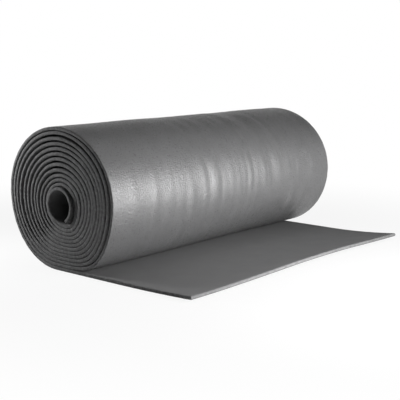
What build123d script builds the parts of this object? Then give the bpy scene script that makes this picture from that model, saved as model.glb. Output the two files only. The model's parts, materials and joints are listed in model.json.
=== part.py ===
"""Insulation roll: one sheet of grey closed-cell foam, wound up on itself with no core, its last stretch laid flat.

The frame: +Y runs along the roll from its near end to its far end, +X is the way the loose end lies, and +Z is up.
The origin is on the floor, under the axis of the bore and halfway along the roll.
"""

import os
from math import atan2, cos, degrees, radians, sin

from build123d import *

# The sheet, in millimetres
sheet_thickness = 9.5
sheet_width = 1000.0

# The winding: whole turns round the bore, and the slack between one turn and the next on each side.
# A loose roll sags, so its turns press together under the bore and stand apart above it.
whole_turns = 12
bore_radius = 42.5
slack_below = 0.4
slack_above = 4.6
slack_left = 3.25
slack_right = 4.5
side_rise = 2.35  # how much higher each turn is at its widest than the turn inside it

# The inner end of the sheet, at which the first turn climbs over its own start
inner_end_angle = 300.0
climb_angle = 225.0

# The stretch on which the outer turns lie flat, on either side of the axis
floor_flat_left = 10.0
floor_flat_right = 15.0

# How deep the open gaps between the turns run in from each end of the roll
gap_depth = 40.0

# The loose end: its reach from the axis, and the stretch of it that curls up off the floor
loose_reach = 487.0
curl_length = 240.0
curl_lift = 13.0

# Heights and places that follow from those sizes
turn_below = sheet_thickness + slack_below
axis_height = bore_radius + (whole_turns + 1) * turn_below + sheet_thickness
axis_point = (0, axis_height)
first_drop = bore_radius + turn_below
climb_turn = radians(270.0 - climb_angle)
climb_radius = (first_drop - bore_radius * cos(climb_turn)) / (1 - cos(climb_turn))
climb_offset = (climb_radius - bore_radius) * sin(climb_turn)
climb_centre = (climb_offset, axis_height + (climb_radius - bore_radius) * cos(climb_turn))
curl_radius = (curl_length**2 + curl_lift**2) / (2 * curl_lift)
curl_angle = degrees(2 * atan2(curl_lift, curl_length))
curl_centre = (loose_reach - curl_length, curl_radius)


def from_axis(radius: float, angle: float) -> tuple[float, float]:
    """The point at that distance and angle from the axis of the bore."""
    return radius * cos(radians(angle)), axis_height + radius * sin(radians(angle))


def right_point(turn: int, face: float) -> tuple[float, float]:
    """Where a turn is furthest right; face is 0 on the sheet's inner face and its thickness on the outer one."""
    return bore_radius + turn * (sheet_thickness + slack_right) + face, axis_height + turn * side_rise


def top_point(turn: int, face: float) -> tuple[float, float]:
    """Where a turn is highest."""
    return 0, axis_height + bore_radius + turn * (sheet_thickness + slack_above) + face


def left_point(turn: int, face: float) -> tuple[float, float]:
    """Where a turn is furthest left."""
    return -bore_radius - turn * (sheet_thickness + slack_left) - face, axis_height + turn * side_rise


def flat_left_point(turn: int, face: float) -> tuple[float, float]:
    """Where a turn comes level under the bore."""
    out_share = turn / whole_turns
    level = axis_height - first_drop - turn * turn_below - face
    return climb_offset - out_share * (climb_offset + floor_flat_left), level


def flat_right_point(turn: int, face: float) -> tuple[float, float]:
    """Where a turn lifts again after its flat stretch."""
    out_share = turn / whole_turns
    return climb_offset + out_share * (floor_flat_right - climb_offset), flat_left_point(turn, face)[1]


def quarter(side: tuple[float, float], pole: tuple[float, float], start_angle: float) -> None:
    """A quarter of an ellipse between a turn's side, where it is upright, and its top or flat, where it is level."""
    half_width = abs(side[0] - pole[0])
    half_height = abs(side[1] - pole[1])
    EllipticalCenterArc((pole[0], side[1]), half_width, half_height, start_angle, arc_size=90)


def rising_quarter(turn: int, face: float) -> None:
    """From the end of a turn's flat stretch up to the side of the next turn."""
    quarter(right_point(turn + 1, face), flat_right_point(turn, face), 270)


def over_the_top(turn: int, face: float) -> None:
    """Round a turn from its right side, over the top and down its left side to its flat stretch."""
    quarter(right_point(turn, face), top_point(turn, face), 0)
    quarter(left_point(turn, face), top_point(turn, face), 90)
    quarter(left_point(turn, face), flat_left_point(turn, face), 180)


def first_turn(radius_step: float) -> None:
    """Round the bore from the sheet's inner end, then away from it to pass under that end."""
    around_bore = climb_angle + 360 - inner_end_angle
    CenterArc(axis_point, bore_radius + radius_step, inner_end_angle, around_bore)
    CenterArc(climb_centre, climb_radius + radius_step, climb_angle, 270 - climb_angle)


# The nip, where the roll comes down on the loose end, and the corners of the sheet's inner end
nip_low = (flat_right_point(whole_turns - 1, 0)[0], sheet_thickness)
nip_high = flat_right_point(whole_turns - 1, sheet_thickness)
inner_end_bore = from_axis(bore_radius, inner_end_angle)
inner_end_outer = from_axis(bore_radius + sheet_thickness, inner_end_angle)
climb_foot = flat_left_point(0, 0)

near_end = Plane.XZ.offset(sheet_width / 2)
far_end = Plane.XZ.offset(-sheet_width / 2)

with BuildPart() as foam_roll:
    # The roll and its loose end: the outside of the last turn, then the floor, the curl and the cut edge
    with BuildSketch(near_end):
        with BuildLine():
            rising_quarter(whole_turns - 1, sheet_thickness)
            over_the_top(whole_turns, sheet_thickness)
            Line(flat_left_point(whole_turns, sheet_thickness), (curl_centre[0], 0))
            under_curl = CenterArc(curl_centre, curl_radius, 270, curl_angle)
            over_curl = CenterArc(curl_centre, curl_radius - sheet_thickness, 270, curl_angle)
            Line(under_curl @ 1, over_curl @ 1)
            Polyline(over_curl @ 0, nip_low, nip_high)
        make_face()
    extrude(amount=-sheet_width)

    # The bore, with the pocket beside the sheet's inner end where the first turn climbs over it
    with BuildSketch(near_end):
        with BuildLine():
            first_turn(0)
            Polyline(climb_foot, inner_end_outer, inner_end_bore)
        make_face()
    extrude(amount=-sheet_width, mode=Mode.SUBTRACT)

    # The open gap between one turn and the next, from the inner end out to the nip, let into both ends
    for end_plane, inward in ((near_end, -gap_depth), (far_end, gap_depth)):
        with BuildSketch(end_plane):
            with BuildLine():
                first_turn(sheet_thickness)
                for turn in range(1, whole_turns):
                    rising_quarter(turn - 1, sheet_thickness)
                    over_the_top(turn, sheet_thickness)
                    Line(flat_left_point(turn, sheet_thickness), flat_right_point(turn, sheet_thickness))
                Polyline(nip_high, nip_low, flat_left_point(whole_turns, 0))
                for turn in range(whole_turns, 0, -1):
                    over_the_top(turn, 0)
                    rising_quarter(turn - 1, 0)
                for turn in range(1, whole_turns):
                    Line(flat_left_point(turn, 0), flat_right_point(turn, 0))
                Line(climb_foot, inner_end_outer)
            make_face()
        extrude(amount=inward, mode=Mode.SUBTRACT)

foam_roll.part.label = "foam_roll"
os.makedirs("parts", exist_ok=True)
export_step(foam_roll.part, "parts/foam_roll.step")
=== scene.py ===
"""The insulation roll: one sheet of grey foam wound on itself, its loose end laid on the floor.

Lengths are in metres, in the part's own frame: +Y runs along the roll, +X is the way the loose end lies and
+Z is up. Turns are counted from the right of the bore: a whole number of them ends on the right, a quarter
more on top, a half more on the left and three quarters more underneath.
"""

import json
import logging
from dataclasses import dataclass, field
from enum import IntEnum
from math import cos, pi, radians, sin

import bpy
import numpy as np
from mathutils import Matrix, Vector


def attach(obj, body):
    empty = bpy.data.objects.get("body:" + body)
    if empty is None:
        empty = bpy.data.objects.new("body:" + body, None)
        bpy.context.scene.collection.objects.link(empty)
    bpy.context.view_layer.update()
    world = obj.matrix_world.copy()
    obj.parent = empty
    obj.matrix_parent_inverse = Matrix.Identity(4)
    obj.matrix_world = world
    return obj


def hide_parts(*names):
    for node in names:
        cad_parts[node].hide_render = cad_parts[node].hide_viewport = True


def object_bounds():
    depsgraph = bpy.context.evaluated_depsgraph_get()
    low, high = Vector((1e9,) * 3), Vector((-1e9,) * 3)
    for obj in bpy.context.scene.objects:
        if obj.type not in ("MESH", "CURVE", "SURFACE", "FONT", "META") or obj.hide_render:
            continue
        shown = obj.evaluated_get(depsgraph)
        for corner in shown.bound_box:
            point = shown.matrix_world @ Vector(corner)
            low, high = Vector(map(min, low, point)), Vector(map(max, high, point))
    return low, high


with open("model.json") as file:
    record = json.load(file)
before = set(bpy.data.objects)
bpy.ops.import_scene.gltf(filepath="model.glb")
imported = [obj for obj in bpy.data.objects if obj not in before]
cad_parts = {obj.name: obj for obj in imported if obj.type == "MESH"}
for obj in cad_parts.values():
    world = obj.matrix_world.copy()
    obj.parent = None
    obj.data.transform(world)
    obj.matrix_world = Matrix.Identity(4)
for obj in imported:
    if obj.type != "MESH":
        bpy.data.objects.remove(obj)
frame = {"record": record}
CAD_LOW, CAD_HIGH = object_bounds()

log = logging.getLogger("insulation_roll")

NODE = "foam_roll"
SHEET_UV = "sheet"

# The share of a turn at which the sheet is on top of the bore, and on its left
TOP_SHARE = 0.25
LEFT_SHARE = 0.5

# The rounding of a cut corner, as angles from the face, and the points and steps of a whole cut edge
CORNER_ANGLES = np.radians([30.0, 60.0, 90.0])
EDGE_POINTS = 2 * len(CORNER_ANGLES)
EDGE_STEPS = EDGE_POINTS + 1

Pair = tuple[float, float]
Triple = tuple[float, float, float]
Socket = bpy.types.NodeSocket
Tree = bpy.types.ShaderNodeTree


class SheetFace(IntEnum):
    """The faces of the sheet, in the order of its material slots."""

    OUTER = 0
    INNER = 1
    CUT = 2


def bell(value: np.ndarray, middle: float, spread: float) -> np.ndarray:
    """A hump of height 1: e to the power of minus the square of the distance over the spread."""
    return np.exp(-(((value - middle) / spread) ** 2))


def ease(value: np.ndarray, start: float, end: float) -> np.ndarray:
    """A smooth step from 0 to 1: three times the square of the way there, less twice its cube."""
    way = np.clip((value - start) / (end - start), 0, 1)
    return way * way * (3 - 2 * way)


def wave(value: np.ndarray, length: float, shift: float) -> np.ndarray:
    """A sine wave of that length, moved on by a share of it."""
    return np.sin(2 * pi * (value / length + shift))


def grid_quads(rows: int, points: int, first: int) -> np.ndarray:
    """The quads between the rows of a surface whose rows are closed loops, numbered row by row.

    Each quad goes from a point to the one after it, across to the next row, and back.

    Args:
        rows: How many rows there are.
        points: How many points are in a row.
        first: The number of the surface's first point.

    Returns:
        The quads' points, one row each.
    """
    row, point = np.meshgrid(np.arange(rows - 1), np.arange(points), indexing="ij")
    here = row * points + point
    after = row * points + (point + 1) % points
    corners = [here, after, after + points, here + points]
    return first + np.stack(corners, axis=-1).reshape(-1, 4)


@dataclass
class Winding:
    """The line that the middle of the sheet follows, seen along the bore, from inner end to loose end."""

    bore_radius: float
    axis_height: float
    reach: float
    thickness: float = 0.0095
    whole_turns: int = 12

    # The slack between one turn and the next on each side, and how much each turn's widest point rises
    slack_below: float = 0.0004
    slack_above: float = 0.0046
    slack_left: float = 0.00325
    slack_right: float = 0.0045
    side_rise: float = 0.00235

    # The sheet's inner end, where the first turn leaves the bore, and the outer turns' flat stretch
    inner_end_angle: float = radians(-60)
    climb_angle: float = radians(225)
    floor_flat_left: float = 0.010
    floor_flat_right: float = 0.015

    # How finely the line is worked out
    quarter_samples: int = 96
    step: float = 0.002
    blur_steps: int = 10

    # Lengths from the inner end, and the line, its outward direction and the turns made so far at each
    along: np.ndarray = field(init=False)
    line: np.ndarray = field(init=False)
    outward: np.ndarray = field(init=False)
    turn: np.ndarray = field(init=False)

    def __post_init__(self) -> None:
        """Works out the line at even steps, with its outward direction and the turns made so far."""
        corners = self.corner_line()
        steps = np.linalg.norm(np.diff(corners, axis=0), axis=1)
        lengths = np.concatenate([[0.0], np.cumsum(steps)])
        self.along = np.arange(0, lengths[-1], self.step)
        evenly = [np.interp(self.along, lengths, corners[:, axis]) for axis in (0, 1)]
        self.line = self.blurred(np.stack(evenly, axis=1))
        heading = np.gradient(self.line, axis=0)
        heading /= np.linalg.norm(heading, axis=1, keepdims=True)
        self.outward = np.stack([heading[:, 1], -heading[:, 0]], axis=1)
        angle = np.arctan2(self.line[:, 1] - self.axis_height, self.line[:, 0])
        self.turn = np.unwrap(angle) / (2 * pi)

    def arc(self, centre: Pair, radius: float, start: float, end: float) -> np.ndarray:
        """Points on a circle: the centre plus the radius times the cosine and sine of evenly spaced angles.

        Args:
            centre: The circle's centre, across and up.
            radius: Its radius.
            start: The first angle.
            end: The angle that the arc stops short of.

        Returns:
            The points, one row each.
        """
        angle = np.linspace(start, end, 4 * self.quarter_samples, endpoint=False)
        return np.stack([centre[0] + radius * np.cos(angle), centre[1] + radius * np.sin(angle)], axis=1)

    def corner_line(self) -> np.ndarray:
        """The line as arcs, quarter ellipses and straights.

        The first turn is a circle round the bore, and then a larger arc that passes under the sheet's inner
        end. Each later turn is four quarters of ellipses, between the points at which it is furthest right,
        highest, furthest left and lowest, and from turn to turn each point moves out by the thickness and
        that side's slack. A straight stretch follows the lowest point, and on the last turn it runs on to
        the loose end.

        Returns:
            The points, one row each, across and up.
        """
        half = self.thickness / 2
        pitch_below = self.thickness + self.slack_below
        drop = self.bore_radius + pitch_below
        lean = 1.5 * pi - self.climb_angle
        climb_radius = (drop - self.bore_radius * cos(lean)) / (1 - cos(lean))
        climb_x = (climb_radius - self.bore_radius) * sin(lean)
        climb_z = self.axis_height + (climb_radius - self.bore_radius) * cos(lean)
        axis = (0, self.axis_height)
        around = self.arc(axis, self.bore_radius + half, self.inner_end_angle, self.climb_angle)
        climb = self.arc((climb_x, climb_z), climb_radius + half, self.climb_angle, 1.5 * pi)

        turn = np.arange(1, self.whole_turns + 1)[:, None]
        out_share = turn / self.whole_turns
        right = self.bore_radius + half + turn * (self.thickness + self.slack_right)
        left = self.bore_radius + half + turn * (self.thickness + self.slack_left)
        top = self.axis_height + self.bore_radius + half + turn * (self.thickness + self.slack_above)
        side = self.axis_height + turn * self.side_rise
        low = self.axis_height - drop - half - turn * pitch_below
        flat_left = climb_x - out_share * (climb_x + self.floor_flat_left)
        flat_right = climb_x + out_share * (self.floor_flat_right - climb_x)
        lift_x = np.concatenate([[[climb_x]], flat_right[:-1]])
        lift_z = low + pitch_below
        flat_right[-1] = self.reach

        sweep = np.linspace(0, pi / 2, self.quarter_samples, endpoint=False)[None, :]
        way = np.linspace(0, 1, self.quarter_samples, endpoint=False)[None, :]
        across = [
            lift_x + (right - lift_x) * np.sin(sweep),
            right * np.cos(sweep),
            -left * np.sin(sweep),
            flat_left - (flat_left + left) * np.cos(sweep),
            flat_left + (flat_right - flat_left) * way,
        ]
        up = [
            side - (side - lift_z) * np.cos(sweep),
            side + (top - side) * np.sin(sweep),
            side + (top - side) * np.cos(sweep),
            side - (side - low) * np.sin(sweep),
            low + 0 * way,
        ]
        turns = [np.concatenate(stretches, axis=1).ravel() for stretches in (across, up)]
        return np.concatenate([around, climb, np.stack(turns, axis=1), [[self.reach, half]]])

    def blurred(self, line: np.ndarray) -> np.ndarray:
        """The line averaged over a short bell-shaped window, so that its bend changes gradually.

        Args:
            line: Evenly spaced points.

        Returns:
            As many points, with both ends where they were.
        """
        window = np.hanning(2 * self.blur_steps + 3)[1:-1]
        window /= window.sum()
        before = 2 * line[0] - line[self.blur_steps:0:-1]
        after = 2 * line[-1] - line[-2:-self.blur_steps - 2:-1]
        longer = np.concatenate([before, line, after])
        return np.stack([np.convolve(longer[:, axis], window, "valid") for axis in (0, 1)], axis=1)

    def read(self, values: np.ndarray, stations: np.ndarray) -> np.ndarray:
        """Values held along the line, read at some lengths from its inner end."""
        return np.interp(stations, self.along, values)

    def station(self, turn: np.ndarray) -> np.ndarray:
        """The lengths along the line at which those numbers of turns have been made."""
        return np.interp(turn, self.turn, self.along)


@dataclass
class Packing:
    """How the turns of the roll depart from an even winding: their gaps, thickness, settling and slip.

    last is the number of whole turns. Turns that are counted past the last whole one are negative before it.
    """

    last: int
    width: float

    # How far the turns lie outside their even places on the right and the left, with the powers that draw
    # the outer turns together, and on top, as humps that each have a height, a turn and a spread in turns
    uneven_right: float = 0.0032
    right_power: float = 1.5
    uneven_left: float = 0.0031
    left_power: float = 1.82
    top_humps: tuple[Triple, ...] = ((0.0020, 11.0, 0.8), (-0.0036, 3.2, 1.6), (0.0024, 0.0, 0.5))

    # The turns past the last whole one over which the winding becomes even
    even_from: Pair = (0.0, 0.3)

    # How much fuller the covered turns are on their right, and thinner on their left, as shares; the turns
    # over which each begins, and those past the last whole one over which both end
    filled_out: float = 0.35
    full_from: Pair = (0.6, 0.9)
    drawn_thin: float = 0.19
    thin_from: Pair = (1.4, 1.8)
    covered_until: Pair = (-0.8, -0.4)

    # The cosines over which each side begins: the right above and below the axis, and the left
    upper_right: Pair = (0.25, 0.65)
    lower_right: Pair = (0.30, 0.85)
    left_side: Pair = (0.20, 0.80)

    # How far the near end has settled to the right, and the power by which that grows with the turns; its
    # place and spread as shares of a turn from the right, the shares over which it is cut off under the
    # bore, and the shares of the width over which it fades
    near_settle: float = 0.040
    settle_power: float = 1.5
    settle_place: float = -0.19
    settle_spread: float = 0.11
    settle_cut: Pair = (-0.28, -0.20)
    settle_fade: Pair = (-0.50, 0.35)

    # How far the inner end stands out of the near end's dish, the turns over which that ends, and the dish
    proud_inner_end: float = 0.010
    proud_until: Pair = (0.5, 0.9)
    dish: float = 0.014

    # How far the turns slip to and fro, as waves that each have a share, a length in turns and a shift, and
    # the turns past the last whole one over which that ends
    turn_slip: float = 0.0012
    slip_waves: tuple[Triple, ...] = ((0.6, 2.7, 0.1), (0.4, 0.83, 0.4))
    slip_until: Pair = (-0.7, 0.0)

    # How far the cut edges waver, as waves that each have a length along the sheet and a shift
    edge_waver: float = 0.0003
    edge_waves: tuple[Pair, ...] = ((0.043, 0.0), (0.029, 0.3))

    def spread(self, turn: np.ndarray) -> np.ndarray:
        """How far each turn lies outside its even place, so that the gaps between the turns differ.

        On the right it is one wave of a sine over all the turns, whose share of the whole is first raised to
        a power, and on the left it is such a wave turned over. On top it is a sum of bells. The three are
        mixed by the squares of the cosine and the sine of the angle. Below the axis the mix is faded by the
        square of the cosine, and past the last whole turn it fades away.

        Args:
            turn: The turns made so far.

        Returns:
            The shift at each of them, outward.
        """
        right_share = np.clip(turn / self.last, 0, 1)
        right = self.uneven_right * np.sin(2 * pi * right_share**self.right_power)
        left_share = np.clip((turn - LEFT_SHARE) / self.last, 0, 1)
        left = -self.uneven_left * np.sin(2 * pi * left_share**self.left_power)
        top = sum(height * bell(turn - TOP_SHARE, place, wide) for height, place, wide in self.top_humps)
        across = np.cos(2 * pi * turn)
        up = np.sin(2 * pi * turn)
        mixed = right * np.maximum(across, 0) ** 2 + left * np.minimum(across, 0) ** 2
        mixed = mixed + top * np.maximum(up, 0) ** 2
        return mixed * np.where(up < 0, across**2, 1) * (1 - ease(turn - self.last, *self.even_from))

    def fullness(self, turn: np.ndarray) -> np.ndarray:
        """How thick each turn is against the last one.

        It is 1 plus what fills the right and less what thins the left. Each side comes in by a smooth step
        of the cosine of the angle, sooner above the axis than below it on the right. Smooth steps of the
        turns leave out the inner end and the last turn.

        Args:
            turn: The turns made so far.

        Returns:
            The share of the thickness at each of them.
        """
        covered = ease(turn, *self.full_from) * (1 - ease(turn - self.last, *self.covered_until))
        across = np.cos(2 * pi * turn)
        above = np.sin(2 * pi * turn) > 0
        right = np.where(above, ease(across, *self.upper_right), ease(across, *self.lower_right))
        left = ease(-across, *self.left_side) * ease(turn, *self.thin_from)
        return 1 + covered * (self.filled_out * right - self.drawn_thin * left)

    def settle(self, turn: np.ndarray, across: np.ndarray) -> np.ndarray:
        """How far right the near end has settled, low on its right side.

        It is a bell round each turn, cut off under the bore, that grows by a power of the turns and fades
        away towards the far end.

        Args:
            turn: The turns made so far, a column.
            across: The places across the sheet, a row.

        Returns:
            The shift to the right.
        """
        around = turn - np.round(turn)
        wound = np.clip(turn / self.last, 0, 1) ** self.settle_power * (turn < self.last + LEFT_SHARE)
        low_right = bell(around, self.settle_place, self.settle_spread)
        near = 1 - ease(across / self.width, *self.settle_fade)
        return self.near_settle * wound * low_right * ease(around, *self.settle_cut) * near

    def slip(self, turn: np.ndarray, along: np.ndarray) -> np.ndarray:
        """How far the sheet has slipped along the roll, towards its far end.

        The nearer the turns are to the bore, the further they have slipped, which dishes the near end and
        fills out the far end, and the inner end stands back from that by a smooth step. The turns slip to
        and fro by sines of the turns, and the cut edges waver by sines of the length.

        Args:
            turn: The turns made so far.
            along: The lengths from the inner end.

        Returns:
            The shift at each of them.
        """
        dished = self.dish * (1 - np.clip(turn / self.last, 0, 1))
        proud = self.proud_inner_end * (1 - ease(turn, *self.proud_until))
        waves = sum(share * wave(turn, length, shift) for share, length, shift in self.slip_waves)
        turns = self.turn_slip * waves * (1 - ease(turn - self.last, *self.slip_until))
        edge = self.edge_waver * sum(wave(along, length, shift) for length, shift in self.edge_waves)
        return dished - proud + turns + edge


@dataclass(frozen=True)
class Swell:
    """A long low wave of the roll's outside: its height, and its length and shift across and round it."""

    height: float
    across: Pair
    around: Pair

    def rise(self, turn: np.ndarray, across: np.ndarray) -> np.ndarray:
        """The height times a sine of the place across the sheet and a sine of the turns."""
        return self.height * wave(across, *self.across) * wave(turn, *self.around)


@dataclass
class Ripples:
    """The shallow ripples that run round the outside of the roll, most of them in its far half.

    last is the number of whole turns. Turns that are counted past the last whole one are negative before it.
    """

    last: int
    width: float
    count: int = 150
    seed: int = 8
    height: float = 0.0012
    height_shares: Pair = (0.3, 1.0)

    # The middle and the spread of their places across the sheet, as shares of its width
    middle_share: float = 0.10
    spread_share: float = 0.21

    # Their wave lengths, the share of one that a packet spreads over, their turns past the last whole one,
    # how far they reach round the roll in turns, and how far they lean across it in a turn
    lengths: Pair = (0.026, 0.100)
    packet_share: float = 0.42
    turns: Pair = (-0.10, 0.16)
    reaches: Pair = (0.05, 0.14)
    leans: Pair = (-0.08, 0.05)

    # The turns past the last whole one over which they begin and end
    start: Pair = (-0.20, -0.05)
    stop: Pair = (0.55, 0.70)

    swells: tuple[Swell, ...] = (
        Swell(0.0006, (0.61, 0.15), (0.70, 0.20)),
        Swell(0.0004, (0.27, 0.0), (0.45, 0.0)),
    )

    def rise(self, turn: np.ndarray, across: np.ndarray) -> np.ndarray:
        """The ripples' height.

        Each ripple is a short packet of a cosine across the sheet, inside a bell in both directions, and it
        leans a little as it goes round. The longer ones are higher. The swells are added to them.

        Args:
            turn: The turns made so far, a column.
            across: The places across the sheet, a row.

        Returns:
            The heights, outward.
        """
        draw = np.random.default_rng(self.seed)
        middle = self.width * draw.normal(self.middle_share, self.spread_share, self.count)
        length = draw.uniform(*self.lengths, self.count)
        around = self.last + draw.uniform(*self.turns, self.count)
        reach = draw.uniform(*self.reaches, self.count)
        lean = draw.uniform(*self.leans, self.count)
        height = self.height * draw.uniform(*self.height_shares, self.count) * length / length.mean()
        total = np.zeros(np.broadcast(turn, across).shape)
        for number in range(self.count):
            place = across - middle[number] - lean[number] * (turn - around[number])
            packet = np.cos(2 * pi * place / length[number])
            packet *= bell(place, 0, self.packet_share * length[number])
            total += height[number] * packet * bell(turn, around[number], reach[number])
        total = total + sum(swell.rise(turn, across) for swell in self.swells)
        past = turn - self.last
        return total * ease(past, *self.start) * (1 - ease(past, *self.stop))


@dataclass
class LooseEnd:
    """The curl of the loose end off the floor, and the further reach of its near half."""

    reach: float
    width: float
    curl_length: float = 0.240
    lift_near: float = 0.005
    lift_middle: float = 0.0175
    lift_far: float = 0.014
    near_reach: float = 0.010

    # The shares of the width over which the lift rises and falls, and over which the further reach fades
    rise: Pair = (-0.49, 0.05)
    fall: Pair = (0.15, 0.46)
    reach_fade: Pair = (-0.20, 0.25)

    def way(self, x: np.ndarray) -> np.ndarray:
        """How far along the curl a place is, from 0 at its start to 1 at the cut end."""
        return np.clip((x - self.reach) / self.curl_length + 1, 0, 1)

    def lift(self, x: np.ndarray, across: np.ndarray) -> np.ndarray:
        """How far the loose end lifts off the floor.

        It is the square of the way along the curl, times a lift that goes by smooth steps across the sheet
        from the near corner's up to the middle's and down to the far corner's.

        Args:
            x: The places the way the loose end lies.
            across: The places across the sheet, a row.

        Returns:
            The lift, upward.
        """
        place = across / self.width
        rise = ease(place, *self.rise) * (self.lift_middle - self.lift_near)
        fall = ease(place, *self.fall) * (self.lift_middle - self.lift_far)
        return self.way(x) ** 2 * (self.lift_near + rise - fall)

    def skew(self, x: np.ndarray, across: np.ndarray) -> np.ndarray:
        """How far the near half reaches past the far half, which grows evenly along the curl."""
        return self.near_reach * self.way(x) * (1 - ease(across / self.width, *self.reach_fade))


@dataclass
class FoamSheet:
    """The sheet as one closed mesh: a middle surface, a face to each side of it, and rounded cut edges."""

    winding: Winding
    packing: Packing
    ripples: Ripples
    loose_end: LooseEnd
    width: float
    edge_radius: float = 0.0025

    # Its points: coarse on the covered turns, and fine from the turn at which the outside begins; and the
    # step over which its outward direction is worked out
    coarse_rows_a_turn: int = 72
    coarse_columns: int = 12
    fine_row_step: float = 0.0130
    fine_columns: int = 190
    fine_from_turn: float = 11.70
    difference_step: float = 0.0015

    # The turns past the last whole one over which the sheet becomes the loose end
    loose_from: Pair = (0.74, 0.76)

    def middle(self, along: np.ndarray, across: np.ndarray) -> np.ndarray:
        """The sheet's middle surface, as a function of the length along it and the place across it.

        It is the winding's line, moved outward by the spread of the turns and the ripples, settled to the
        right at the near end and slipped along the roll. The loose end is lifted and skewed.

        Args:
            along: The lengths from the inner end, a column.
            across: The places across the sheet, a row.

        Returns:
            The points, as rows by columns by three.
        """
        winding = self.winding
        turn = winding.read(winding.turn, along)
        push = self.packing.spread(turn) + self.ripples.rise(turn, across)
        x = winding.read(winding.line[:, 0], along) + push * winding.read(winding.outward[:, 0], along)
        z = winding.read(winding.line[:, 1], along) + push * winding.read(winding.outward[:, 1], along)
        x = x + self.packing.settle(turn, across)
        y = across + self.packing.slip(turn, along)
        loose = ease(turn - winding.whole_turns, *self.loose_from)
        z = z + loose * self.loose_end.lift(x, across)
        x = x + loose * self.loose_end.skew(x, across)
        return np.stack(np.broadcast_arrays(x, y, z), axis=-1)

    def facing(self, along: np.ndarray, across: np.ndarray) -> np.ndarray:
        """Which way is outward: the cross product of the middle surface's differences across and along.

        Args:
            along: The lengths from the inner end, a column.
            across: The places across the sheet, a row.

        Returns:
            The directions, of length 1, as rows by columns by three.
        """
        step = self.difference_step
        over = self.middle(along, across + step) - self.middle(along, across - step)
        on = self.middle(along + step, across) - self.middle(along - step, across)
        out = np.cross(over, on)
        return out / np.linalg.norm(out, axis=-1, keepdims=True)

    def section(self, columns: int) -> tuple[np.ndarray, np.ndarray, np.ndarray]:
        """The sheet's section, as a closed loop: outer face, far edge, inner face and near edge.

        The faces are level, and an edge is a straight between two rounded corners, at the radius times the
        sine and the cosine of each corner's angles.

        Args:
            columns: How many points lie on each face.

        Returns:
            The place across the sheet and the height from its middle of each point, and the face that each
            step from one point to the next lies on.
        """
        half = self.winding.thickness / 2
        radius = self.edge_radius
        face = np.linspace(radius - self.width / 2, self.width / 2 - radius, columns)
        bulge = np.concatenate([np.sin(CORNER_ANGLES), np.sin(CORNER_ANGLES[::-1])])
        out = self.width / 2 - radius + radius * bulge
        high = half - radius + radius * np.cos(CORNER_ANGLES)
        edge = np.concatenate([high, -high[::-1]])
        level = np.full(columns, half)
        kinds = [SheetFace.OUTER] * (columns - 1) + [SheetFace.CUT] * EDGE_STEPS
        kinds += [SheetFace.INNER] * (columns - 1) + [SheetFace.CUT] * EDGE_STEPS
        across = np.concatenate([face, out, face[::-1], -out])
        return across, np.concatenate([level, edge, -level, -edge]), np.array(kinds, dtype=np.int32)

    def surface(self, along: np.ndarray, pinch: np.ndarray, columns: int) -> np.ndarray:
        """The sheet's whole surface: the middle surface, plus the section's height in the outward direction.

        Args:
            along: The length from the inner end at each row.
            pinch: How far each row is drawn in from the faces, which rounds the sheet's two cut ends.
            columns: How many points lie across each face.

        Returns:
            The points, as rows by section points by three.
        """
        across, height, _ = self.section(columns)
        half = self.winding.thickness / 2
        full = self.packing.fullness(self.winding.read(self.winding.turn, along))
        level = height[None, :] * (full * (1 - pinch / half))[:, None]
        stations = along[:, None]
        places = across[None, :]
        return self.middle(stations, places) + level[..., None] * self.facing(stations, places)

    def rows(self) -> tuple[np.ndarray, np.ndarray, np.ndarray, np.ndarray]:
        """The lengths at which the sheet has rows of points: coarse on the covered turns, then fine.

        Returns:
            The coarse rows and how far each is pinched, and the fine rows and how far each is pinched.
        """
        winding = self.winding
        radius = self.edge_radius
        corner = np.append(CORNER_ANGLES[::-1], 0.0)
        inset = radius * (1 - np.sin(corner))
        drawn = radius * (1 - np.cos(corner))
        end = winding.along[-1]
        joint = winding.station(self.fine_from_turn)
        first_turn = winding.turn[0]
        count = int(self.coarse_rows_a_turn * (self.fine_from_turn - first_turn))
        coarse = winding.station(np.linspace(first_turn, self.fine_from_turn, count, endpoint=False))
        coarse = np.concatenate([inset, coarse[coarse > 2 * radius]])
        fine = np.arange(joint, end - 2 * radius, self.fine_row_step)
        fine = np.concatenate([fine, end - inset[::-1]])
        pinch_coarse = np.concatenate([drawn, np.zeros(len(coarse) - len(drawn))])
        pinch_fine = np.concatenate([np.zeros(len(fine) - len(drawn)), drawn[::-1]])
        return coarse, pinch_coarse, fine, pinch_fine

    @staticmethod
    def cap(columns: int, points: int, first: int, forward: bool) -> list[list[int]]:
        """The faces that close one end of the sheet: a quad for each column, and a polygon at each edge.

        Args:
            columns: How many points lie on each face.
            points: How many points are in a row.
            first: The number of the row's first point.
            forward: Whether the end faces the way the sheet runs.

        Returns:
            The faces' points.
        """
        outer = np.arange(columns)
        inner = points - EDGE_STEPS - outer
        quads = np.stack([outer[:-1], outer[1:], inner[1:], inner[:-1]], axis=1).tolist()
        far_edge = list(range(columns - 1, columns + EDGE_STEPS))
        near_edge = [*range(points - EDGE_STEPS, points), 0]
        faces = [[first + point for point in face] for face in (*quads, far_edge, near_edge)]
        return faces if forward else [face[::-1] for face in faces]

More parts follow.
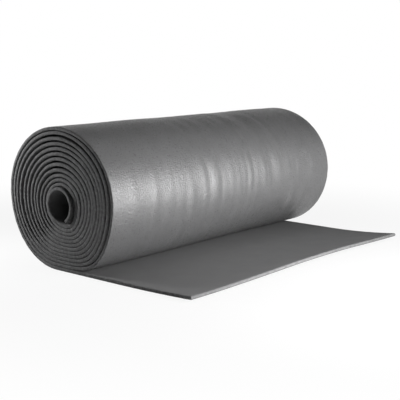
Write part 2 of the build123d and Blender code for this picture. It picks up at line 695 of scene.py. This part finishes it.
    def zip_rows(self, first_coarse: int, first_fine: int) -> tuple[np.ndarray, np.ndarray]:
        """The triangles that join a coarse row to a fine one.

        Each fine step makes a triangle with the coarse point nearest to it, and where that point changes, a
        second triangle takes up the coarse step.

        Args:
            first_coarse: The number of the coarse row's first point.
            first_fine: The number of the fine row's first point.

        Returns:
            The triangles, and the face that each lies on.
        """
        wide = self.coarse_columns
        narrow = self.fine_columns
        share = np.round(np.arange(narrow) * (wide - 1) / (narrow - 1)).astype(int)
        edge = np.arange(EDGE_POINTS)
        inner = wide + EDGE_POINTS
        near = np.concatenate([share, wide + edge, inner + share, inner + wide + edge])
        fine = np.arange(len(near))
        after = (fine + 1) % len(near)
        kinds = self.section(narrow)[2]
        fans = np.stack([first_coarse + near, first_fine + after, first_fine + fine], axis=1)
        moves = near != near[after]
        fills = np.stack([first_coarse + near, first_coarse + near[after], first_fine + after], axis=1)
        return np.concatenate([fans, fills[moves]]), np.concatenate([kinds, kinds[moves]])

    def build(self) -> bpy.types.Object:
        """Makes the sheet's mesh, with its faces sorted into material slots and a UV map.

        Returns:
            The object, at the origin.
        """
        coarse, pinch_coarse, fine, pinch_fine = self.rows()
        covered = self.surface(coarse, pinch_coarse, self.coarse_columns)
        shown = self.surface(fine, pinch_fine, self.fine_columns)
        in_covered = covered.shape[1]
        in_shown = shown.shape[1]
        split = covered.shape[0] * in_covered
        points = np.concatenate([covered.reshape(-1, 3), shown.reshape(-1, 3)])
        covered_quads = grid_quads(len(coarse), in_covered, 0)
        shown_quads = grid_quads(len(fine), in_shown, split)
        joint, joint_kinds = self.zip_rows(split - in_covered, split)
        caps = self.cap(self.coarse_columns, in_covered, 0, False)
        caps += self.cap(self.fine_columns, in_shown, len(points) - in_shown, True)
        faces = covered_quads.tolist() + shown_quads.tolist() + joint.tolist() + caps
        kinds = [
            np.tile(self.section(self.coarse_columns)[2], len(coarse) - 1),
            np.tile(self.section(self.fine_columns)[2], len(fine) - 1),
            joint_kinds,
            np.full(len(caps), SheetFace.CUT),
        ]

        mesh = bpy.data.meshes.new("foam_sheet")
        mesh.from_pydata(points.tolist(), [], faces)
        mesh.polygons.foreach_set("material_index", np.concatenate(kinds).astype(np.int32))
        mesh.polygons.foreach_set("use_smooth", np.ones(len(mesh.polygons), dtype=bool))
        self.lay_flat(mesh, coarse, fine)
        mesh.update()
        sheet = bpy.data.objects.new("foam_sheet", mesh)
        bpy.context.scene.collection.objects.link(sheet)
        return sheet

    def lay_flat(self, mesh: bpy.types.Mesh, coarse: np.ndarray, fine: np.ndarray) -> None:
        """Gives the mesh a UV map in metres: the place across the sheet, and the length from its inner end.

        Args:
            mesh: The sheet's mesh.
            coarse: The lengths of its coarse rows.
            fine: The lengths of its fine rows.
        """
        flat = []
        for along, columns in ((coarse, self.coarse_columns), (fine, self.fine_columns)):
            across = self.section(columns)[0]
            places = np.broadcast_arrays(across[None, :], along[:, None])
            flat.append(np.stack(places, axis=-1).reshape(-1, 2))
        point = np.empty(len(mesh.loops), dtype=np.int32)
        mesh.loops.foreach_get("vertex_index", point)
        layer = mesh.uv_layers.new(name=SHEET_UV)
        layer.data.foreach_set("uv", np.concatenate(flat)[point].astype(np.float32).ravel())

    def dress(self, sheet: bpy.types.Object, finishes: dict[SheetFace, bpy.types.Material]) -> None:
        """Gives each face of the sheet its finish and ties the sheet to the part.

        Args:
            sheet: The sheet.
            finishes: The material of each of its faces.
        """
        for face in SheetFace:
            sheet.data.materials.append(finishes[face])
        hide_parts(NODE)
        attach(sheet, "root")


def combine(tree: Tree, operation: str, first: Socket | float, second: Socket | float) -> Socket:
    """Two values put together by a Math node.

    Args:
        tree: The node tree that gets the node.
        operation: What the node does with them.
        first: The first value, a socket or a number.
        second: The second value.

    Returns:
        The result's socket.
    """
    node = tree.nodes.new("ShaderNodeMath")
    node.operation = operation
    for value, socket in zip((first, second), node.inputs):
        if isinstance(value, Socket):
            tree.links.new(value, socket)
        else:
            socket.default_value = value
    return node.outputs[0]


def carry(tree: Tree, value: Socket, source: Pair, target: Pair, curve: str = "LINEAR") -> Socket:
    """A value carried from one range to another by a Map Range node, and held at its ends.

    Args:
        tree: The node tree that gets the node.
        value: The value.
        source: The range that it comes from.
        target: The range that it goes to.
        curve: How it goes from one end to the other.

    Returns:
        The result's socket.
    """
    node = tree.nodes.new("ShaderNodeMapRange")
    node.interpolation_type = curve
    for name, number in zip(("From Min", "From Max", "To Min", "To Max"), (*source, *target)):
        node.inputs[name].default_value = number
    tree.links.new(value, node.inputs["Value"])
    return node.outputs["Result"]


@dataclass(frozen=True)
class Grain:
    """The grain of the foam: soft pebbles of one size, broken up by noise, and a broad mottle."""

    pebble_smoothness: float = 0.6
    pebble_share: float = 0.5
    noise_detail: float = 3.0
    noise_roughness: float = 0.65
    mottle_detail: float = 4.0
    mottle_roughness: float = 0.55

    def group(self) -> Tree:
        """The grain as a node group, whose height is noise less a share of the distance in a pebble.

        Returns:
            A group that takes a place and the sizes of a pebble and of the mottle, and gives a height and a
            mottle.
        """
        group = bpy.data.node_groups.new("foam_grain", "ShaderNodeTree")
        group.interface.new_socket("Vector", in_out="INPUT", socket_type="NodeSocketVector")
        for size in ("Pebble Size", "Mottle Size"):
            group.interface.new_socket(size, in_out="INPUT", socket_type="NodeSocketFloat")
        for result in ("Height", "Mottle"):
            group.interface.new_socket(result, in_out="OUTPUT", socket_type="NodeSocketFloat")
        inside = group.nodes.new("NodeGroupInput")
        outside = group.nodes.new("NodeGroupOutput")

        pebbles = group.nodes.new("ShaderNodeTexVoronoi")
        pebbles.feature = "SMOOTH_F1"
        pebbles.inputs["Smoothness"].default_value = self.pebble_smoothness
        noise = group.nodes.new("ShaderNodeTexNoise")
        noise.inputs["Detail"].default_value = self.noise_detail
        noise.inputs["Roughness"].default_value = self.noise_roughness
        mottle = group.nodes.new("ShaderNodeTexNoise")
        mottle.inputs["Detail"].default_value = self.mottle_detail
        mottle.inputs["Roughness"].default_value = self.mottle_roughness
        for texture, size in ((pebbles, "Pebble Size"), (noise, "Pebble Size"), (mottle, "Mottle Size")):
            scale = combine(group, "DIVIDE", 1.0, inside.outputs[size])
            group.links.new(inside.outputs["Vector"], texture.inputs["Vector"])
            group.links.new(scale, texture.inputs["Scale"])

        shallow = combine(group, "MULTIPLY", pebbles.outputs["Distance"], self.pebble_share)
        height = combine(group, "SUBTRACT", noise.outputs["Fac"], shallow)
        group.links.new(height, outside.inputs["Height"])
        group.links.new(mottle.outputs["Fac"], outside.inputs["Mottle"])
        return group


@dataclass(frozen=True)
class FoamFinish:
    """A finish of the foam: its two greys, its gloss, and the size and depth of its grain.

    The roughness goes from its first number in the hollows of the grain to its second on the heights. The
    grain follows the sheet if on_sheet is true, and otherwise it fills the foam, as it shows on a cut.
    """

    name: str
    dark: Triple
    pale: Triple
    roughness: Pair
    specular: float
    pebble: float
    pebble_depth: float
    mottle: float
    streak_depth: float = 0.0
    on_sheet: bool = True

    # The heights of the grain over which the roughness changes
    gloss_heights: Pair = (0.0, 0.5)

    # How many streaks there are to a metre across the sheet and along it, how much fine detail they have,
    # the places across the sheet over which they come in, and their share of the depth before that
    streaks_a_metre: Triple = (60.0, 4.0, 1.0)
    streak_detail: float = 3.0
    streaks_from: Pair = (-0.40, 0.05)
    near_share: float = 0.35

    def material(self, grain: Tree) -> bpy.types.Material:
        """The finish as a material.

        Args:
            grain: The grain's node group.

        Returns:
            The material.
        """
        material = bpy.data.materials.new(self.name)
        material.use_nodes = True
        tree = material.node_tree
        nodes = tree.nodes
        links = tree.links
        shader = nodes["Principled BSDF"]
        shader.inputs["Specular IOR Level"].default_value = self.specular
        if self.on_sheet:
            places = nodes.new("ShaderNodeUVMap")
            places.uv_map = SHEET_UV
            place = places.outputs["UV"]
        else:
            place = nodes.new("ShaderNodeTexCoord").outputs["Object"]

        texture = nodes.new("ShaderNodeGroup")
        texture.node_tree = grain
        texture.inputs["Pebble Size"].default_value = self.pebble
        texture.inputs["Mottle Size"].default_value = self.mottle
        links.new(place, texture.inputs["Vector"])

        tone = nodes.new("ShaderNodeMix")
        tone.data_type = "RGBA"
        tone.inputs["A"].default_value = (*self.dark, 1.0)
        tone.inputs["B"].default_value = (*self.pale, 1.0)
        links.new(texture.outputs["Mottle"], tone.inputs["Factor"])
        links.new(tone.outputs["Result"], shader.inputs["Base Color"])

        gloss = carry(tree, texture.outputs["Height"], self.gloss_heights, self.roughness)
        links.new(gloss, shader.inputs["Roughness"])

        relief = nodes.new("ShaderNodeBump")
        relief.inputs["Distance"].default_value = self.pebble_depth
        links.new(texture.outputs["Height"], relief.inputs["Height"])
        links.new(relief.outputs["Normal"], shader.inputs["Normal"])
        if self.streak_depth:
            links.new(self.streaks(tree, place), relief.inputs["Normal"])
        return material

    def streaks(self, tree: Tree, place: Socket) -> Socket:
        """Faint streaks that run round the roll, and are fainter near its near end.

        They are noise that is long along the sheet and narrow across it, times a smooth step of the place
        across the sheet.

        Args:
            tree: The material's node tree.
            place: The place on the sheet.

        Returns:
            The socket that gives the streaked normal.
        """
        longer = tree.nodes.new("ShaderNodeMapping")
        longer.inputs["Scale"].default_value = self.streaks_a_metre
        tree.links.new(place, longer.inputs["Vector"])
        noise = tree.nodes.new("ShaderNodeTexNoise")
        noise.inputs["Scale"].default_value = 1.0
        noise.inputs["Detail"].default_value = self.streak_detail
        tree.links.new(longer.outputs["Vector"], noise.inputs["Vector"])
        axes = tree.nodes.new("ShaderNodeSeparateXYZ")
        tree.links.new(place, axes.inputs["Vector"])
        share = carry(tree, axes.outputs["X"], self.streaks_from, (self.near_share, 1.0), "SMOOTHSTEP")
        height = combine(tree, "MULTIPLY", noise.outputs["Fac"], share)
        bump = tree.nodes.new("ShaderNodeBump")
        bump.inputs["Distance"].default_value = self.streak_depth
        tree.links.new(height, bump.inputs["Height"])
        return bump.outputs["Normal"]


SKIN = FoamFinish(
    name="foam_skin",
    dark=(0.066, 0.066, 0.067),
    pale=(0.092, 0.092, 0.093),
    roughness=(0.22, 0.49),
    specular=0.62,
    pebble=0.0039,
    pebble_depth=0.0014,
    mottle=0.050,
    streak_depth=0.0011,
)
INSIDE = FoamFinish(
    name="foam_inside",
    dark=(0.100, 0.100, 0.101),
    pale=(0.124, 0.124, 0.125),
    roughness=(0.80, 0.90),
    specular=0.08,
    pebble=0.0030,
    pebble_depth=0.0004,
    mottle=0.060,
)
CUT = FoamFinish(
    name="foam_cut",
    dark=(0.030, 0.030, 0.031),
    pale=(0.222, 0.222, 0.223),
    roughness=(0.85, 0.95),
    specular=0.10,
    pebble=0.0022,
    pebble_depth=0.0012,
    mottle=0.007,
    on_sheet=False,
)


@dataclass(frozen=True)
class Softbox:
    """A rectangular studio light, which shows in the gloss of the foam unless in_gloss is false."""

    name: str
    place: Triple
    aim: Triple
    size: Pair
    power: float
    in_gloss: bool = True

    def hang(self) -> None:
        """Puts the light in its place, facing its aim."""
        light = bpy.data.lights.new(self.name, "AREA")
        light.shape = "RECTANGLE"
        light.size, light.size_y = self.size
        light.energy = self.power
        lamp = bpy.data.objects.new(self.name, light)
        lamp.location = self.place
        towards = Vector(self.aim) - Vector(self.place)
        lamp.rotation_euler = towards.to_track_quat("-Z", "Y").to_euler()
        lamp.visible_camera = False
        lamp.visible_glossy = self.in_gloss
        bpy.context.scene.collection.objects.link(lamp)


@dataclass
class Studio:
    """The white floor and surroundings, the lights and the camera."""

    camera_place: Triple = (2.0577, -2.2564, 0.6496)
    azimuth: float = radians(41.15)
    elevation: float = radians(9.51)
    camera_roll: float = radians(0.25)
    lens_mm: float = 88.6

    # The floor, just under the roll, and the wall about it
    floor_drop: float = 0.0003
    floor_rings: tuple[float, ...] = (0.0, 0.6, 1.2)
    floor_sides: int = 64
    room_radius: float = 10.0
    wall_height: float = 4.0

    # The paint's grey, which takes the shadow, the distances over which the floor becomes plain white, and
    # the share of plain white at the first and at the last of them
    paint_grey: float = 0.50
    white_from: Pair = (0.5, 1.6)
    white_shares: Pair = (0.88, 1.0)

    # The strength of the even light from above, and the lights
    surround: float = 0.03
    softboxes: tuple[Softbox, ...] = (
        Softbox("key", (1.10, 0.42, 0.44), (0.2, -0.3, 0.2), (0.3, 0.4), 6.0),
        Softbox("side", (1.20, -0.16, 0.42), (0.2, -0.2, 0.2), (0.5, 0.3), 10.5),
        Softbox("low_side", (1.30, -0.05, 0.23), (0.2, -0.1, 0.17), (0.7, 0.2), 15.5),
        Softbox("top", (0.10, 0.50, 2.40), (0.1, 0.2, 0.1), (1.6, 1.6), 9.0),
        Softbox("end_fill", (-0.52, -0.70, 0.44), (-0.15, -0.5, 0.2), (0.20, 0.20), 6.1, in_gloss=False),
    )

    def build(self) -> None:
        """Sets up everything around the roll."""
        self.lay_floor()
        self.light_surroundings()
        for softbox in self.softboxes:
            softbox.hang()
        self.place_camera()
        bpy.context.scene.view_settings.view_transform = "Standard"

    @staticmethod
    def seen(tree: Tree) -> Socket:
        """Whether a ray comes straight from the camera, a reflection or something clear.

        Args:
            tree: The node tree that gets the nodes.

        Returns:
            A socket that is 1 for such a ray, and else 0.
        """
        path = tree.nodes.new("ShaderNodeLightPath")
        total = path.outputs["Is Camera Ray"]
        for ray in ("Is Glossy Ray", "Is Transmission Ray"):
            total = combine(tree, "MAXIMUM", total, path.outputs[ray])
        return total

    def lay_floor(self) -> None:
        """Lays a round white floor with a white wall about it: flat rings and an upright one, turned."""
        flat_rings = (*self.floor_rings, self.room_radius)
        radius = np.array([*flat_rings, self.room_radius])[:, None]
        height = np.array([0.0] * len(flat_rings) + [self.wall_height])[:, None] - self.floor_drop
        angle = np.linspace(0, 2 * pi, self.floor_sides, endpoint=False)[None, :]
        places = np.broadcast_arrays(radius * np.cos(angle), radius * np.sin(angle), height)
        points = np.stack(places, axis=-1).reshape(-1, 3)
        quads = grid_quads(len(radius), self.floor_sides, 0)[:, ::-1]
        mesh = bpy.data.meshes.new("floor")
        mesh.from_pydata(points.tolist(), [], quads.tolist())
        floor = bpy.data.objects.new("floor", mesh)
        bpy.context.scene.collection.objects.link(floor)
        mesh.materials.append(self.white_paint())

    def white_paint(self) -> bpy.types.Material:
        """White paint that takes the roll's shadow close by and is plain white further off.

        Returns:
            The material.
        """
        material = bpy.data.materials.new("white_paint")
        material.use_nodes = True
        tree = material.node_tree
        tree.nodes.clear()
        paint = tree.nodes.new("ShaderNodeBsdfDiffuse")
        paint.inputs["Color"].default_value = (self.paint_grey, self.paint_grey, self.paint_grey, 1.0)
        white = tree.nodes.new("ShaderNodeEmission")
        places = tree.nodes.new("ShaderNodeTexCoord")
        distance = tree.nodes.new("ShaderNodeVectorMath")
        distance.operation = "LENGTH"
        tree.links.new(places.outputs["Object"], distance.inputs[0])
        far = carry(tree, distance.outputs["Value"], self.white_from, self.white_shares, "SMOOTHSTEP")
        mixed = tree.nodes.new("ShaderNodeMixShader")
        tree.links.new(combine(tree, "MULTIPLY", far, self.seen(tree)), mixed.inputs["Fac"])
        tree.links.new(paint.outputs["BSDF"], mixed.inputs[1])
        tree.links.new(white.outputs["Emission"], mixed.inputs[2])
        out = tree.nodes.new("ShaderNodeOutputMaterial")
        tree.links.new(mixed.outputs["Shader"], out.inputs["Surface"])
        return material

    def light_surroundings(self) -> None:
        """Gives the world above the wall a plain, even light."""
        world = bpy.data.worlds.new("studio_ceiling")
        bpy.context.scene.world = world
        world.use_nodes = True
        background = world.node_tree.nodes["Background"]
        background.inputs["Color"].default_value = (1.0, 1.0, 1.0, 1.0)
        background.inputs["Strength"].default_value = self.surround

    def place_camera(self) -> None:
        """Puts the camera where the photograph was taken from, looking the same way."""
        data = bpy.data.cameras.new("camera")
        data.lens = self.lens_mm
        camera = bpy.data.objects.new("camera", data)
        turn = Matrix.Rotation(self.azimuth, 4, "Z")
        tilt = Matrix.Rotation(pi / 2 - self.elevation, 4, "X")
        roll = Matrix.Rotation(self.camera_roll, 4, "Z")
        camera.matrix_world = Matrix.Translation(self.camera_place) @ turn @ tilt @ roll
        bpy.context.scene.collection.objects.link(camera)
        bpy.context.scene.camera = camera


def main() -> None:
    """Builds the studio and the roll, and reports each piece."""
    Studio().build()
    bore = next(mount for mount in frame["record"]["mounts"] if mount["name"] == "core_bore")
    width = CAD_HIGH.y - CAD_LOW.y
    winding = Winding(bore["dims"]["r_mm"] / 1000, bore["pos_m"][2], CAD_HIGH.x)
    packing = Packing(winding.whole_turns, width)
    ripples = Ripples(winding.whole_turns, width)
    loose_end = LooseEnd(winding.reach, width)
    roll = FoamSheet(winding, packing, ripples, loose_end, width)
    sheet = roll.build()
    grain = Grain().group()
    finishes = {
        SheetFace.OUTER: SKIN.material(grain),
        SheetFace.INNER: INSIDE.material(grain),
        SheetFace.CUT: CUT.material(grain),
    }
    roll.dress(sheet, finishes)
    log.info("%s: %.2f m of sheet, %d faces", sheet.name, winding.along[-1], len(sheet.data.polygons))


if __name__ == "__main__":
    logging.basicConfig(level=logging.INFO)
    main()
